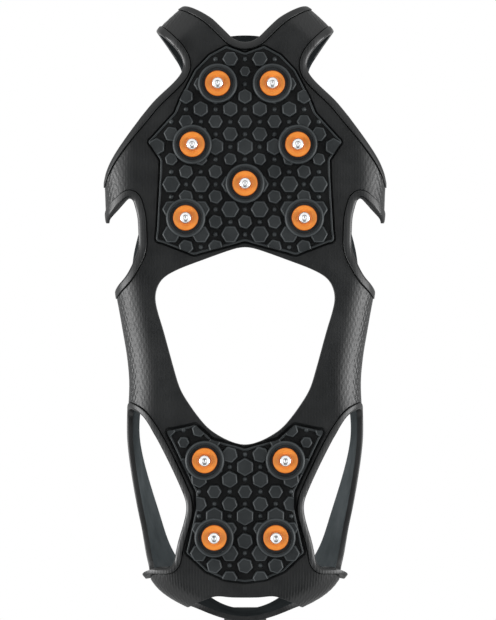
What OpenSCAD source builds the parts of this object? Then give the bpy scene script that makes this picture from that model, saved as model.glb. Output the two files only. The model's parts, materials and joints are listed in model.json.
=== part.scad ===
// Slip-on ice cleat: a moulded rubber harness that stretches over a shoe, with two
// lugged tread pads under the sole and eleven steel studs in plastic collars.
// Toe towards +Y, sole down, stud tips on Z = 0. All sizes in millimetres.

/* [Rubber] */
// Thickness of the flat webs under the foot
web_t = 3; // [2.2:0.2:4]
// Thickness of the straps and bands that climb the shoe
wall_t = 2.4; // [1.6:0.2:3]
// Width of the raised bead along the edge of each window
bead_w = 3; // [2:0.25:4]
// Height of that bead above the rubber round it
bead_h = 1; // [0.4:0.2:1.6]
// Gap at each cut where a strap runs into an upper band
seam_gap = 0.2; // [0.1:0.05:0.4]

/* [Shoe form] */
// Length of the shoe form between its foremost and hindmost lines
form_length = 259; // [235:1:290]
// Width of the shoe form across the ball of the foot
form_width = 114; // [102:1:126]
// Height of the rim at the heel above the stud tips
rim_height = 58; // [52:1:66]
// Radius of the turn from the flat sole into the wall
edge_r = 11; // [9:0.5:12]
// Height of the widest line of the walls above the webs' underside
belly_h = 12; // [10:0.5:15]

/* [Tread] */
// Thickness of the pads behind their lugs
pad_t = 1.6; // [1:0.2:2.6]
// Height of the six-sided lugs above the pad
lug_h = 1.8; // [1:0.2:2.6]
// Height of the small dots between the lugs
dot_h = 1; // [0.4:0.2:1.6]
// Radius of the small dots
dot_r = 1.05; // [0.7:0.05:1.3]

/* [Studs] */
// How far the steel tip stands out of its collar
tip_proud = 2.8; // [2:0.1:4]
// Radius of the steel tip and shank
shank_r = 2.35; // [1.8:0.05:2.8]
// Radius of the plastic collar
collar_r = 5.1; // [4.4:0.1:5.6]
// Radius of the groove round the collar
groove_r = 6.3; // [5.9:0.1:6.8]
// Radius of the rubber boss round the stud
boss_r = 7.9; // [7.2:0.1:8.6]
// Height of the boss above the pad
boss_h = 3; // [2.4:0.1:3.6]
// How far the collar's face lies inside the boss
collar_recess = 0.4; // [0.2:0.1:1]
// Radius of the stud's flange inside the sole
flange_r = 6.5; // [5:0.1:7]
// Thickness of that flange
flange_t = 1.4; // [1:0.1:1.8]
// Clearance between a stud, its collar and the rubber
fit_gap = 0.05; // [0.02:0.01:0.12]

/* [Pull tab] */
// Width of the tab on the heel
tab_w = 18; // [12:1:26]
// Length of the tab from its fold
tab_len = 18; // [12:0.5:22]
// Thickness of the tab
tab_t = 3; // [2:0.2:4]
// Corner radius of the tab's free end
tab_corner = 5; // [2:0.5:6]
// Lean of the tab away from the shoe, in degrees
tab_lean = 30; // [20:1:45]
// Clearance under the tab's fold
fold_gap = 0.3; // [0.2:0.05:0.6]

/* [Hidden] */
$fn = 48;
rubber = [0.17, 0.18, 0.19];
orange = [0.92, 0.45, 0.12];
steel = [0.8, 0.81, 0.83];

// Levels, from the stud tips up
collar_z = tip_proud;
boss_z = collar_z - collar_recess;
floor_z = boss_z + boss_h;
web_z = floor_z + pad_t;
top_z = web_z + web_t;
belly_z = web_z + belly_h;

// The tables of places are drawn for a form of this width, length and rim height
drawn = [114, 259, 58];
form = [form_width, form_length, rim_height];
function sized(list) = [for (p = list) [for (i = [0:len(p) - 1]) p[i] * form[i] / drawn[i]]];

// Widest outline of the shoe form, from toe to heel on the right side
belly = sized([[0, 137], [17, 134], [30, 125.5], [42, 111.5], [51.5, 90], [57, 68], [57, 52], [55.5, 28],
    [51, 4], [47.3, -21], [47.8, -48], [43.2, -81], [38.2, -104], [22, -115.8], [0, -122]]);
// Rim of the foot opening at the same stations
rim = sized([[0, 103, 54], [9, 102.3, 54], [13.5, 100, 53], [17.5, 91.5, 51], [23, 75, 49.5], [28, 58, 48],
    [32, 46, 46.5], [41, 26, 43.5], [43.5, 4, 41.5], [44, -20, 41.5], [46.3, -48, 45],
    [38.3, -80, 52], [31, -99, 55], [16.5, -116.8, 57], [0, -122.7, 58]]);
heel_s = len(belly) - 1;

// Up the wall, w runs from 0 at the sole's edge past the belly to 1 at the rim
belly_w = 0.35;
band_w = 0.8;
heel_band_w = 0.5;
// How the wall leans in above the belly: pairs of station and power, where a low power leans in sooner
lean = [[0, 2], [1.2, 2], [2.2, 1.3], [heel_s, 1.3]];
// Where the edges of the straps cross the wall: pairs of w and station
turn = belly_w / 4;
toe_inner = [[0, 1.03], [turn, 1.26], [2 * turn, 1.39], [belly_w, 1.45], [band_w, 1.25]];
toe_outer = [[0, 2.53], [turn, 2.51], [2 * turn, 2.5], [belly_w, 2.5], [band_w, 2.6]];
wing_front = [[0, 4.13], [turn, 4.62], [2 * turn, 5.05], [3 * turn, 5.42], [belly_w, 5.62], [band_w, 4.45]];
wing_rear = [[0, 6.04], [turn, 6.17], [2 * turn, 6.3], [3 * turn, 6.4], [belly_w, 6.47], [band_w, 5.3]];
arm_front = [[0, 7.1], [turn, 7.36], [2 * turn, 7.48], [belly_w, 7.6], [band_w, 7.4], [1, 7.4]];
arm_rear = [[0, 9.85], [turn, 9.6], [2 * turn, 9.52], [1, 9.52]];
corner_front = [[0, 11.86], [turn, 11.79], [2 * turn, 11.75], [3 * turn, 11.8], [belly_w, 11.89],
    [heel_band_w, 11.8]];
corner_rear = [[0, 13.35], [turn, 13.15], [2 * turn, 13], [belly_w, 12.92], [heel_band_w, 12.85]];
toe_cap_end = 2.9;
// Lower edge of the heel band: pairs of station and w
heel_low = [[9.52, 0.38], [10.5, 0.42], [11.5, heel_band_w], [heel_s, heel_band_w]];

// Edges of the windows across the flat webs, right side
notch_edge = sized([[0, 113.9], [4.2, 114.9], [8.3, 118.8]]);
toe_window_edge = sized([[26.4, 109.3], [24.7, 104], [27.8, 98.7], [36.3, 90.6]]);
side_window_edge = sized([[44.6, 48.2], [43.4, 44], [43, 37.5], [43, 31]]);
arm_edge = sized([[36.2, 12], [35.4, 6], [33, -2], [30.8, -10], [28.6, -18], [26, -26.2], [21.5, -33.5]]);
midfoot_front = sized([[33.8, 18.1], [27.6, 22.1], [17.3, 26.1], [5.2, 30.4], [0, 31.4]]);
midfoot_rear = sized([[0, -48.4], [7.3, -46.4], [14.1, -42.3], [17.9, -38.3]]);
heel_window_edge = sized([[33.2, -50.4], [29.2, -58.5], [25.6, -66.5], [23.6, -72.5], [24.4, -78.6],
    [26.8, -86.7], [28, -92]]);
rear_window_edge = sized([[7, -110.2], [0, -110.2]]);

// Outlines of the tread pads, right side
front_pad_edge = sized([[0, 109.3], [7.6, 112.1], [14.3, 108.5], [20.1, 102.4], [25.7, 91.6], [28.3, 85.3],
    [38.8, 73.7], [34, 66.3], [34.2, 59], [35.6, 34.1], [20.5, 28.3], [0, 33.7]]);
heel_pad_edge = sized([[0, -49.8], [13.3, -46.2], [20.1, -40.6], [31.4, -43.4], [19.7, -67.2],
    [19.5, -73.2], [23.5, -91.5], [15.7, -98.9], [8, -102.2], [0, -103.3]]);

// Stud stations, in pairs unless on the centre line
front_studs = sized([[-11, 97], [11, 97], [-21.2, 72.5], [21.2, 72.5], [0, 56.8], [-23.8, 43], [23.8, 43]]);
heel_studs = sized([[-16.2, -54.4], [16.2, -54.4], [-12.4, -85.4], [12.4, -85.4]]);

// Lug lattice: place of the first row and pitch of columns and rows; each row has its own lug size and turn
front_rows = sized([[0, 106.8], [5.92, 5.03]]);
front_lugs = [[6.1, 0], [4.3, 5], [5.6, 0], [5.8, 30], [6.1, 26], [5.6, 0], [6, 8], [6.7, 30], [5.1, 15],
    [5.6, 17], [7, 0], [5.6, 15], [7, 0], [5.6, 15], [7, 0], [5.8, 15]];
heel_rows = sized([[0, -42.2], [6.17, 4.95]]);
heel_lugs = [[5.6, 15], [4.6, 5], [6.4, 15], [7, 30], [6.6, 25], [5.6, 0], [6.2, 12], [7.2, 30], [5.6, 0],
    [6.4, 17], [6.8, 0], [6.2, 15], [6, 0]];
columns = 7;

front_count = len(front_studs);
heel_count = len(heel_studs);

// Smooth curve through four neighbouring points, between the middle two
function blend4(a, b, c, d, t) =
    0.5 * (2 * b + (c - a) * t + (2 * a - 5 * b + 4 * c - d) * t * t + (3 * b - a - 3 * c + d) * t * t * t);

// A point of the left side is the mirror image of one on the right
function flip(p) = [for (i = [0:len(p) - 1]) i == 0 ? -p[i] : p[i]];
function station(list, i) =
    i < 0 ? flip(list[-i]) : i >= len(list) ? flip(list[2 * (len(list) - 1) - i]) : list[i];

// Point at station s of a half outline that goes on as its own mirror image at both ends
function around(list, s) =
    let (i = floor(s))
    blend4(station(list, i - 1), station(list, i), station(list, i + 1), station(list, i + 2), s - i);

// The station on the right side that stands for s
function folded(s) = s > heel_s ? 2 * heel_s - s : abs(s);

// Outward direction of the belly outline at station s
function outward(s) =
    let (d = around(belly, s + 0.01) - around(belly, s - 0.01))
    [-d[1], d[0]] / norm(d);

// Edge of the flat sole at station s
function sole_edge(s) = around(belly, s) - edge_r * outward(s);

// Point on the outer face of the harness at station s and height share w
function wall(s, w) =
    let (b = around(belly, s), r = around(rim, s), a = 90 * w / belly_w, up = (w - belly_w) / (1 - belly_w))
    w < 0 ? concat(sole_edge(s) + outward(s) * w * edge_r, [web_z])
    : w < belly_w ? concat(sole_edge(s) + outward(s) * edge_r * sin(a), [web_z + belly_h * (1 - cos(a))])
    : concat(b + ([r[0], r[1]] - b) * pow(up, lookup(folded(s), lean)), [belly_z + (r[2] - belly_z) * up]);

function wall_normal(s, w) =
    let (e = 0.002, k = w > 1 - e ? 1 - e : w)
    let (n = cross(wall(s, k + e) - wall(s, k - e), wall(s + e, k) - wall(s - e, k)))
    n / norm(n);

// Wall thickness eases from the web's to the strap's above the sole's edge
function thickness(w) = web_t + (wall_t - web_t) * min(1, max(0, w) / belly_w);

// Outer and inner point of a wall vertex given as station, w and lift
function outer_point(v) = wall(v[0], v[1]) + wall_normal(v[0], v[1]) * v[2];
function inner_point(v) = wall(v[0], v[1]) - wall_normal(v[0], v[1]) * thickness(v[1]);

// Solid between two grids of points, rows by columns
module shell(outer, inner) {
    rows = len(outer);
    cols = len(outer[0]);
    count = rows * cols;
    points = concat([for (row = outer) each row], [for (row = inner) each row]);
    function quad(a, b, c, d) = [[a, b, c], [a, c, d]];
    faces = concat(
        [for (i = [0:rows - 2], j = [0:cols - 2]) let (p = i * cols + j)
            each quad(p, p + 1, p + cols + 1, p + cols)],
        [for (i = [0:rows - 2], j = [0:cols - 2]) let (p = count + i * cols + j)
            each quad(p, p + cols, p + cols + 1, p + 1)],
        [for (j = [0:cols - 2]) each quad(j + 1, j, count + j, count + j + 1)],
        [for (j = [0:cols - 2]) let (p = (rows - 1) * cols + j)
            each quad(p, p + 1, count + p + 1, count + p)],
        [for (i = [0:rows - 2]) let (p = i * cols)
            each quad(p, p + cols, count + p + cols, count + p)],
        [for (i = [0:rows - 2]) let (p = i * cols + cols - 1)
            each quad(p + cols, p, count + p, count + p + cols)]);
    polyhedron(points, faces, convexity = 6);
}

// Shares across a strip of a given width, with a bead along either edge: share and lift
bead_slope = 0.4;
function bead_start(width) = [[0, bead_h], [bead_w / width, bead_h], [(bead_w + bead_slope) / width, 0]];
function bead_end(width) = [for (i = [2:-1:0]) let (b = bead_start(width)[i]) [1 - b[0], b[1]]];

// Strap from the sole's edge up to the height share top, between two edges
wall_rows = 6;
function strap_heights(top) =
    concat([for (i = [0:3]) i * turn], [for (i = [0:wall_rows]) belly_w + (top - belly_w) * i / wall_rows]);
function strap_shares(front, rear, w) =
    let (width = norm(wall(lookup(w, front), w) - wall(lookup(w, rear), w)))
    concat(bead_start(width), [[0.5, 0]], bead_end(width));
module strap(front, rear, top) {
    grid = [for (w = strap_heights(top)) let (a = lookup(w, front), b = lookup(w, rear))
        [for (share = strap_shares(front, rear, w)) [a + (b - a) * share[0], w, share[1]]]];
    shell([for (row = grid) [for (v = row) outer_point(v)]], [for (row = grid) [for (v = row) inner_point(v)]]);
}
// Points where a strap meets the web, between its two corners
function root_line(front, rear) =
    let (a = front[0][1], b = rear[0][1])
    [for (share = strap_shares(front, rear, 0)) if (share[0] > 0 && share[0] < 1)
        sole_edge(a + (b - a) * share[0])];

// Band along the rim between two stations, above its lower edge, a table of station and w
module band(from, to, low, steps) {
    function column(s) =
        let (l = lookup(folded(s), low), height = norm(wall(s, 1) - wall(s, l)))
        [for (share = concat(bead_start(height), [[0.6, 0], [1, 0]])) [s, l + (1 - l) * share[0], share[1]]];
    grid = [for (i = [0:steps]) column(from + (to - from) * i / steps)];
    rows = [for (r = [0:len(grid[0]) - 1]) [for (c = grid) c[r]]];
    shell([for (row = rows) [for (v = row) outer_point(v)]], [for (row = rows) [for (v = row) inner_point(v)]]);
}

// Open curve through a list of plan points
curve_steps = 5;
function curve(list) =
    let (n = len(list) - 1)
    concat([for (i = [0:n - 1], k = [0:curve_steps - 1])
        blend4(list[max(i - 1, 0)], list[i], list[i + 1], list[min(i + 2, n)], k / curve_steps)], [list[n]]);

// Window edges across the webs, from one strap's root to the next
function first(list) = list[0];
function last(list) = list[len(list) - 1];
notch_line = curve(concat(notch_edge, [sole_edge(toe_inner[0][1])]));
toe_window_line = curve(concat([sole_edge(toe_outer[0][1])], toe_window_edge, [sole_edge(wing_front[0][1])]));
side_window_line = curve(concat([sole_edge(wing_rear[0][1])], side_window_edge, [sole_edge(arm_front[0][1])]));
heel_window_line = curve(concat([sole_edge(arm_rear[0][1])], heel_window_edge, [sole_edge(corner_front[0][1])]));
rear_window_line = curve(concat([sole_edge(corner_rear[0][1])], rear_window_edge));
midfoot_front_line = curve(concat([first(arm_edge)], midfoot_front));
midfoot_rear_line = curve(concat(midfoot_rear, [last(arm_edge)]));

// Strip along a window edge, on the rubber's side, between the points where the next beads begin
function edge_normal(line, i) =
    let (d = line[min(i + 1, len(line) - 1)] - line[max(i - 1, 0)])
    [d[1], -d[0]] / norm(d);
function bead_strip(line, from, to) =
    let (inner = [for (i = [len(line) - 2:-1:1]) line[i] + bead_w * edge_normal(line, i)])
    concat(line, [to], [for (p = inner) if (min(norm(p - from), norm(p - to)) > bead_w * 0.7) p], [from]);

// Point on the cut between a web and an arm where the web's bead ends
function cut_point(edge, opening) =
    let (corner = sole_edge(edge[0][1]))
    corner + bead_w * (opening - corner) / norm(opening - corner);

// Whole outline from its right half, and whole edge from a half that begins or ends on the centre line
function mirrored(list) = [for (i = [len(list) - 1:-1:0]) if (list[i][0] > 0) flip(list[i])];
function whole(half) = concat(half, mirrored(half));
function whole_edge(half) = first(half)[0] == 0 ? concat(mirrored(half), half) : whole(half);

module both_sides() {
    children();
    mirror([1, 0, 0]) children();
}

// Flat web with a bead on its underside along each window edge
module web(half, beads) {
    translate([0, 0, web_z]) linear_extrude(web_t) polygon(whole(half));
    both_sides() for (bead = beads) translate([0, 0, web_z - bead_h]) linear_extrude(bead_h) polygon(bead);
}

// Bores for the studs, with a seat for each flange in the web's upper face
module stud_bores(places) {
    for (p = places) translate([p[0], p[1], web_z]) {
        translate([0, 0, -1]) cylinder(r = shank_r + fit_gap, h = web_t + 2);
        translate([0, 0, web_t - flange_t - fit_gap]) cylinder(r = flange_r + fit_gap, h = web_t);
    }
}

module forefoot_web() {
    toe_root = root_line(toe_inner, toe_outer);
    wing_root = root_line(wing_front, wing_rear);
    half = concat(notch_line, toe_root, toe_window_line, wing_root, side_window_line, midfoot_front_line);
    color(rubber) difference() {
        web(half, [bead_strip(whole_edge(notch_line), flip(first(toe_root)), first(toe_root)),
            bead_strip(toe_window_line, last(toe_root), first(wing_root)),
            bead_strip(side_window_line, last(wing_root), cut_point(arm_front, first(arm_edge)))]);
        stud_bores(front_studs);
    }
}

module heel_web() {
    corner_root = root_line(corner_front, corner_rear);
    half = concat(midfoot_rear_line, heel_window_line, corner_root, rear_window_line);
    color(rubber) difference() {
        web(half, [bead_strip(heel_window_line, cut_point(arm_rear, last(arm_edge)), first(corner_root)),
            bead_strip(whole_edge(rear_window_line), last(corner_root), flip(last(corner_root)))]);
        stud_bores(heel_studs);
    }
}

// Lugs and dots of a pad's lattice, hanging below the pad's floor
module lattice(rows, lugs, studs) {
    for (row = [0:len(lugs) - 1], col = [-columns:columns]) {
        at = [rows[0][0] + col * rows[1][0], rows[0][1] - row * rows[1][1]];
        clear = min([for (s = studs) norm(s - at)]);
        if ((row + abs(col)) % 2 == 1)
            translate([at[0], at[1], floor_z - lug_h]) rotate(lugs[row][1])
                cylinder(d = lugs[row][0], h = lug_h + pad_t / 2, $fn = 6);
        else if (clear > boss_r + dot_r)
            translate([at[0], at[1], floor_z - dot_h]) cylinder(r = dot_r, h = dot_h + pad_t / 2);
    }
}

module tread_pad(edge, rows, lugs, studs) {
    color(rubber) difference() {
        union() {
            translate([0, 0, floor_z]) linear_extrude(pad_t) polygon(whole(edge));
            intersection() {
                lattice(rows, lugs, studs);
                translate([0, 0, boss_z]) linear_extrude(web_z - boss_z) polygon(whole(edge));
            }
            for (p = studs) translate([p[0], p[1], boss_z]) cylinder(r = boss_r, h = boss_h + pad_t / 2);
        }
        for (p = studs) translate([p[0], p[1], 0]) {
            cylinder(r = collar_r + fit_gap, h = web_z + 1);
            cylinder(r = groove_r, h = floor_z - boss_h / 4);
        }
    }
}

module forefoot_pad() {
    tread_pad(front_pad_edge, front_rows, front_lugs, front_studs);
}

module heel_pad() {
    tread_pad(heel_pad_edge, heel_rows, heel_lugs, heel_studs);
}

module toe_strap() {
    color(rubber) strap(toe_inner, toe_outer, band_w - seam_share);
}

module wing() {
    color(rubber) strap(wing_front, wing_rear, band_w - seam_share);
}

module heel_corner() {
    color(rubber) strap(corner_front, corner_rear, heel_band_w - seam_share);
}

// The seam gap as shares of the wall's height and of a station
seam_share = seam_gap / norm(wall(4, 1) - wall(4, 0));
seam_station = seam_gap / norm(wall(7.5, 1) - wall(6.5, 1));

module toe_cap() {
    color(rubber) band(-toe_cap_end, toe_cap_end, [[0, band_w], [heel_s, band_w]], 24);
}

module side_band() {
    color(rubber) band(toe_cap_end + seam_station, last(arm_front)[1] - seam_station,
        [[0, band_w], [heel_s, band_w]], 20);
}

module heel_band() {
    start = last(arm_rear)[1] + seam_station;
    color(rubber) band(start, 2 * heel_s - start, heel_low, 44);
}

// Side arm: flat strip beside the midfoot opening, then the whole height of the wall
arm_columns = 18;
module arm() {
    inner_line = curve(arm_edge);
    function inner_at(v) =
        let (k = v * (len(inner_line) - 1), i = min(floor(k), len(inner_line) - 2))
        inner_line[i] + (inner_line[i + 1] - inner_line[i]) * (k - i);
    function shares(w) =
        let (width = norm(wall(lookup(w, arm_front), w) - wall(lookup(w, arm_rear), w)))
        concat(bead_start(width), [for (i = [2:arm_columns - 2]) [i / arm_columns, 0]], bead_end(width));
    root = shares(0);
    function root_station(v) = arm_front[0][1] + (arm_rear[0][1] - arm_front[0][1]) * v;
    function flat_row(share) =
        [for (v = root) let (e = sole_edge(root_station(v[0])), p = inner_at(v[0])) p + (e - p) * share];
    flat_rows = [for (share = [0, 0.5, 1]) flat_row(share)];
    grid = [for (w = strap_heights(1)) if (w > 0) let (a = lookup(w, arm_front), b = lookup(w, arm_rear))
        [for (v = shares(w)) [a + (b - a) * v[0], w, v[1]]]];
    color(rubber) shell(
        concat([for (row = flat_rows) [for (p = row) concat(p, [web_z])]],
            [for (row = grid) [for (v = row) outer_point(v)]]),
        concat([for (row = flat_rows) [for (p = row) concat(p, [top_z])]],
            [for (row = grid) [for (v = row) inner_point(v)]]));
}

// Tab that a hand pulls the heel on with, folding at its root above the heel band
module pull_tab() {
    fold = wall(heel_s, 1);
    color(rubber) translate([0, fold[1] + wall_t / 2, fold[2] + tab_t / 2 + fold_gap]) rotate([tab_lean, 0, 0]) {
        rotate([0, 90, 0]) cylinder(d = tab_t, h = tab_w, center = true);
        rotate([90, 0, 0]) linear_extrude(tab_t, center = true) {
            translate([-tab_w / 2, 0]) square([tab_w, tab_len - tab_corner]);
            translate([tab_corner - tab_w / 2, 0]) square([tab_w - 2 * tab_corner, tab_len]);
            for (side = [-1, 1]) translate([side * (tab_w / 2 - tab_corner), tab_len - tab_corner])
                circle(r = tab_corner);
        }
    }
}

// Steel stud: flange in the web, shank through collar and pad, domed tip on the ground
module stud(place) {
    dome = shank_r * 0.35;
    color(steel) translate([place[0], place[1], 0]) rotate_extrude()
        polygon(concat([[0, 0], [shank_r - dome, 0], [shank_r, dome], [shank_r, top_z - flange_t],
            [flange_r, top_z - flange_t], [flange_r, top_z], [0, top_z]]));
}

// Plastic collar round the shank, standing on the web's underside
module collar(place) {
    chamfer = 0.5;
    color(orange) translate([place[0], place[1], 0]) rotate_extrude()
        polygon([[shank_r + fit_gap, collar_z + chamfer], [shank_r + 2 * chamfer, collar_z],
            [collar_r - chamfer, collar_z], [collar_r, collar_z + chamfer], [collar_r, web_z],
            [shank_r + fit_gap, web_z]]);
}

module left() mirror([1, 0, 0]) children();

forefoot_web();
forefoot_pad();
heel_web();
heel_pad();
toe_cap();
heel_band();
pull_tab();
left() toe_strap();  // toe_strap_left
toe_strap();  // toe_strap_right
left() wing();  // wing_left
wing();  // wing_right
left() side_band();  // side_band_left
side_band();  // side_band_right
left() arm();  // arm_left
arm();  // arm_right
left() heel_corner();  // heel_corner_left
heel_corner();  // heel_corner_right
for (i = [1:front_count]) {
    stud(front_studs[i - 1]);
    collar(front_studs[i - 1]);
}
for (i = [1:heel_count]) {
    stud(heel_studs[i - 1]);
    collar(heel_studs[i - 1]);
}
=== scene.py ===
# Ice cleat, a slip-on rubber harness with steel studs, seen from below with the toe up.
import json
import math

import bmesh
import bpy
import numpy as np
from mathutils import Matrix, Vector
from mathutils.kdtree import KDTree


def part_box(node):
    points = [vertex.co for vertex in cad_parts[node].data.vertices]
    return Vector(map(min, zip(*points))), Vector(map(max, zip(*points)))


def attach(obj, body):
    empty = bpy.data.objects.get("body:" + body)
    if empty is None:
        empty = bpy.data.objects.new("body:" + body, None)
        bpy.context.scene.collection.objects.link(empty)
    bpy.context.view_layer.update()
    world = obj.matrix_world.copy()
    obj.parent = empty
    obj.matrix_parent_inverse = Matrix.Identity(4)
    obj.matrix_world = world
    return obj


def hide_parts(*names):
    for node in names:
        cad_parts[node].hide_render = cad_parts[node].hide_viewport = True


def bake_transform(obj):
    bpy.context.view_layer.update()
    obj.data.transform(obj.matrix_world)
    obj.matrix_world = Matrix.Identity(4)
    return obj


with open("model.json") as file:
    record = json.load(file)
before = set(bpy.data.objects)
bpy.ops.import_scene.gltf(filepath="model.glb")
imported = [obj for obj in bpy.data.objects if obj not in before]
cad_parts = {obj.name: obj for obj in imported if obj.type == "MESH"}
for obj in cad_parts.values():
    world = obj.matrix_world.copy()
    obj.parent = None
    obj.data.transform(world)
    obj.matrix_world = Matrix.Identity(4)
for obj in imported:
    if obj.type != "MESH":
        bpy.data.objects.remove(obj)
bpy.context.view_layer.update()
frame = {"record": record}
mm = 0.001


# Camera: stands a metre under the stud tips and looks straight up at the sole.
# The toe is at the top of the picture and the wearer's right side at its left.
camera = bpy.data.objects.new("camera", bpy.data.cameras.new("camera"))
camera.location = (-1.2 * mm, 6 * mm, -1)
camera.rotation_euler = (0, math.pi, 0)
camera.data.lens = 145.2
bpy.context.collection.objects.link(camera)
bpy.context.scene.camera = camera


# Harness: one moulding of black elastic rubber that wraps the shoe from the sole over toe, sides and heel.
# It is cut out flat, gets a rounded bead round each window, and is then wrapped onto the shoe's form.
# Half outlines run from toe to heel on the wearer's right: the widest line, and the rim with its height.
belly_line = [
    (0, 137), (17, 134), (30, 125.5), (42, 111.5), (51.5, 90), (57, 68), (57, 52), (55.5, 28), (51, 4),
    (47.3, -21), (47.8, -48), (43.2, -81), (38.2, -104), (22, -115.8), (0, -122),
]
rim_line = [
    (0, 103, 54), (9, 102.3, 54), (13.5, 100, 53), (17.5, 91.5, 51), (23, 75, 49.5), (28, 58, 48),
    (32, 46, 46.5), (41, 26, 43.5), (43.5, 4, 41.5), (44, -20, 41.5), (46.3, -48, 45), (38.3, -80, 52),
    (31, -99, 55), (16.5, -116.8, 57), (0, -122.7, 58),
]
heel_station = len(belly_line) - 1
small_step = 0.002
belly_share = 0.35
belly_rise = 12
edge_radius = 11
wall_length = 57
web_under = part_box("forefoot_pad")[1].z / mm
web_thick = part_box("heel_web")[1].z / mm - web_under
wall_thick = 2.4


def curve_point(a, b, c, d, part):
    """Points on a smooth curve between b and c, a part of the way along; a and d are the next knots."""
    square = (2 * a - 5 * b + 4 * c - d) * part**2
    return 0.5 * (2 * b + (c - a) * part + square + (3 * b - a - 3 * c + d) * part**3)


def along(line, station):
    """Points of a half outline at stations; past toe and heel it goes on as its own mirror image."""
    knots = np.array(line, float)
    station = np.asarray(station, float)
    whole = np.floor(station).astype(int)
    ends = []
    for step in (-1, 0, 1, 2):
        turn = np.mod(whole + step, 2 * heel_station)
        past_heel = turn > heel_station
        knot = knots[np.where(past_heel, 2 * heel_station - turn, turn)]
        knot[..., 0] = np.where(past_heel, -knot[..., 0], knot[..., 0])
        ends.append(knot)
    return curve_point(*ends, (station - whole)[..., None])


def folded(station):
    """Stations on the wearer's left as the same stations on the right."""
    return heel_station - np.abs(np.mod(station, 2 * heel_station) - heel_station)


def outward(station):
    """Unit vectors that point straight out of the shoe in plan."""
    station = np.asarray(station)
    step = along(belly_line, station + small_step) - along(belly_line, station - small_step)
    across = np.stack([-step[..., 1], step[..., 0]], -1)
    return across / np.linalg.norm(across, axis=-1, keepdims=True)


def sole_edge(station):
    """The line where the flat sole starts to turn up into the wall."""
    return along(belly_line, station) - edge_radius * outward(station)


def wall(station, share):
    """Points of the shoe's outer form, from the sole's edge at share 0 to the rim at share 1."""
    share = np.asarray(share, float)[..., None]
    belly = along(belly_line, station)
    rim = along(rim_line, station)
    angle = np.clip(share / belly_share, 0, 1) * math.pi / 2
    up = np.clip((share - belly_share) / (1 - belly_share), 0, None)
    low = sole_edge(station) + outward(station) * edge_radius * np.sin(angle)
    low_z = web_under + belly_rise * (1 - np.cos(angle))
    lean = np.interp(folded(station), [1.2, 2.2], [2, 1.3])[..., None]
    high = belly + (rim[..., :2] - belly) * up**lean
    high_z = web_under + belly_rise + (rim[..., 2:] - web_under - belly_rise) * up
    turned_up = share > belly_share
    return np.concatenate([np.where(turned_up, high, low), np.where(turned_up, high_z, low_z)], -1)


def up_wall(points):
    """Flat places of points on the wall, each given by its station and its share of the way to the rim."""
    return [tuple(sole_edge(station) + outward(station) * share * wall_length) for station, share in points]


def smooth_loop(points, spacing, round_off):
    """A closed curve through points, anticlockwise, evenly spaced and with its corners eased."""
    knots = np.array(points, float)
    part = np.linspace(0, 1, 16, endpoint=False)[:, None]
    runs = []
    for i in range(len(knots)):
        ends = [knots[(i + k) % len(knots)] for k in (-1, 0, 1, 2)]
        runs.append(curve_point(*ends, part))
    run = np.concatenate(runs)
    lengths = np.linalg.norm(np.roll(run, -1, 0) - run, axis=1)
    far = np.concatenate([[0], np.cumsum(lengths)])
    count = int(far[-1] / spacing)
    places = np.arange(count) * far[-1] / count
    closed = np.concatenate([run, run[:1]])
    even = np.stack([np.interp(places, far, closed[:, k]) for k in (0, 1)], 1)
    reach = int(round_off / spacing)
    eased = sum(np.roll(even, k, 0) for k in range(-reach, reach + 1)) / (2 * reach + 1)
    ahead = np.roll(eased, -1, 0)
    area = np.sum(eased[:, 0] * ahead[:, 1] - eased[:, 1] * ahead[:, 0])
    return eased if area > 0 else eased[::-1]


def moved_out(loop, distance):
    """The loop moved away from its own inside."""
    step = np.roll(loop, -1, 0) - np.roll(loop, 1, 0)
    across = np.stack([step[:, 1], -step[:, 0]], 1)
    across /= np.linalg.norm(across, axis=1, keepdims=True)
    return loop + across * distance


def other_side(points):
    """The same points on the wearer's left."""
    return [(-x, y) for x, y in points]


def both_sides(points):
    """A half outline that starts and ends on the middle line, closed by its mirror image."""
    return points + other_side(points[-2:0:-1])


toe_window = both_sides([(0, 113.9), (4.2, 114.9), (8.3, 118.8)] + up_wall([
    (1.03, 0), (1.27, 0.09), (1.44, 0.18), (1.6, 0.35), (1.5, 0.55), (1.25, 0.74), (0.8, 0.8), (0, 0.8),
]))
toe_side_window = [(26.4, 109.3)] + up_wall([
    (2.53, 0), (2.51, 0.09), (2.5, 0.18), (2.5, 0.35), (2.55, 0.6), (2.7, 0.76), (3.2, 0.8), (3.8, 0.8),
    (4.2, 0.79), (4.55, 0.73), (5.1, 0.55), (5.62, 0.35), (5.42, 0.26), (5.05, 0.18), (4.62, 0.09), (4.13, 0),
]) + [(36.3, 90.6), (27.8, 98.7), (24.7, 104)]
side_window = [(44.6, 48.2)] + up_wall([
    (6.04, 0), (6.17, 0.09), (6.3, 0.18), (6.4, 0.26), (6.47, 0.35), (5.95, 0.55), (5.5, 0.74), (5.6, 0.8),
    (6.2, 0.8), (6.8, 0.8), (7.2, 0.79), (7.4, 0.7), (7.5, 0.55), (7.6, 0.35), (7.48, 0.18), (7.36, 0.09),
    (7.1, 0),
]) + [(43, 31), (43, 37.5), (43.4, 44)]
heel_side_window = [(33.2, -50.4)] + up_wall([
    (9.85, 0), (9.6, 0.09), (9.52, 0.18), (9.52, 0.3), (9.75, 0.38), (10.2, 0.41), (10.8, 0.44), (11.4, 0.48),
    (11.78, 0.47), (11.89, 0.37), (11.8, 0.26), (11.75, 0.18), (11.79, 0.09), (11.86, 0),
]) + [(28, -92), (26.8, -86.7), (24.4, -78.6), (23.6, -72.5), (25.6, -66.5), (29.2, -58.5)]
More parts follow.
